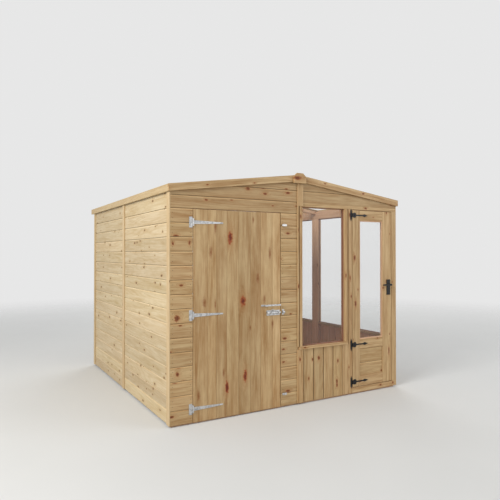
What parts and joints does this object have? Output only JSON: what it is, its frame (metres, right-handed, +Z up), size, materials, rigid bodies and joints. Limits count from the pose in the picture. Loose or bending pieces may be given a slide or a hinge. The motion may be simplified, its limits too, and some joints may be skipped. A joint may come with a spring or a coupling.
{
  "type": "wooden garden shed with glazed growing bay",
  "caption": "Low-pitched wooden garden shed: boarded store with a hinged ledged door beside a glazed growing bay with its own glazed door.",
  "frame": {"origin": "on the ground under the middle of the overall box", "axes": "+X to the right along the front, +Y from the front to the back, +Z up"},
  "size_m": [2.424, 2.641, 2.0311],
  "materials": {
    "cladding": "planed pine shiplap with knots, clear dip treatment",
    "trim_pine": "planed pine trim, slightly paler than the boards",
    "rough_pine": "sawn pine framing",
    "felt": "mineral-faced roofing felt",
    "glazing": "clear sheet glazing",
    "galvanised": "bright zinc plated steel",
    "black_iron": "black powder-coated iron, satin"
  },
  "bodies": {
    "shed": {"joists": "rough_pine", "floor_deck": "rough_pine", "bottom_rails": "rough_pine", "wall_studs": "rough_pine", "top_rails": "rough_pine", "front_side_cladding": "cladding", "front_gable_cladding": "cladding", "left_wall_cladding": "cladding", "back_wall_cladding": "cladding", "low_boards": "cladding", "window_sills": "trim_pine", "greenhouse_posts": "trim_pine", "greenhouse_rails": "trim_pine", "window_panes": "glazing", "cover_strips": "trim_pine", "corner_trims": "trim_pine", "eaves_fascias": "trim_pine", "barge_boards": "trim_pine", "apex_blocks": "trim_pine", "ridge_beam": "rough_pine", "rafters": "rough_pine", "roof_boards": "rough_pine", "roof_felt": "felt", "roof_panes": "glazing", "glazing_bars": "trim_pine", "ridge_cap": "felt", "shed_hinge_plates": "galvanised", "greenhouse_hinge_plates": "black_iron", "bolt_keep": "galvanised"},
    "shed_door": {"shed_door_boards": "cladding", "shed_door_ledges": "rough_pine", "shed_door_braces": "rough_pine", "shed_hinge_straps": "galvanised", "bolt_plate": "galvanised", "pull_handle": "galvanised"},
    "bolt": {"bolt_rod": "galvanised"},
    "button_top": {"turn_button_top": "galvanised"},
    "button_bottom": {"turn_button_bottom": "galvanised"},
    "greenhouse_door": {"greenhouse_door_stiles": "trim_pine", "greenhouse_door_rails": "trim_pine", "greenhouse_door_boards": "cladding", "greenhouse_door_pane": "glazing", "greenhouse_hinge_straps": "black_iron", "handle_plate": "black_iron"},
    "lever": {"lever_handle": "black_iron"}
  },
  "joints": [
    {"name": "shed_door_hinge", "type": "hinge", "parent": "shed", "child": "shed_door", "pos_m": [-1.0025, -1.2795, 0.85], "axis": [0, 0, -1], "range_deg": [0, 160]},
    {"name": "bolt_slide", "type": "slide", "parent": "shed_door", "child": "bolt", "axis": [1, 0, 0], "range_m": [0, 0.036]},
    {"name": "button_top_turn", "type": "hinge", "parent": "shed", "child": "button_top", "pos_m": [-0.167, -1.2735, 1.571], "axis": [0, -1, 0], "range_deg": [0, 180]},
    {"name": "button_bottom_turn", "type": "hinge", "parent": "shed", "child": "button_bottom", "pos_m": [-0.167, -1.2735, 0.118], "axis": [0, -1, 0], "range_deg": [0, 180]},
    {"name": "greenhouse_door_hinge", "type": "hinge", "parent": "shed", "child": "greenhouse_door", "pos_m": [0.6255, -1.2795, 0.9], "axis": [0, 0, -1], "range_deg": [0, 160]},
    {"name": "lever_turn", "type": "hinge", "parent": "greenhouse_door", "child": "lever", "pos_m": [1.092, -1.2735, 1.02], "axis": [0, -1, 0], "range_deg": [0, 40], "stiffness_Nm_per_rad": 1.2}
  ]
}
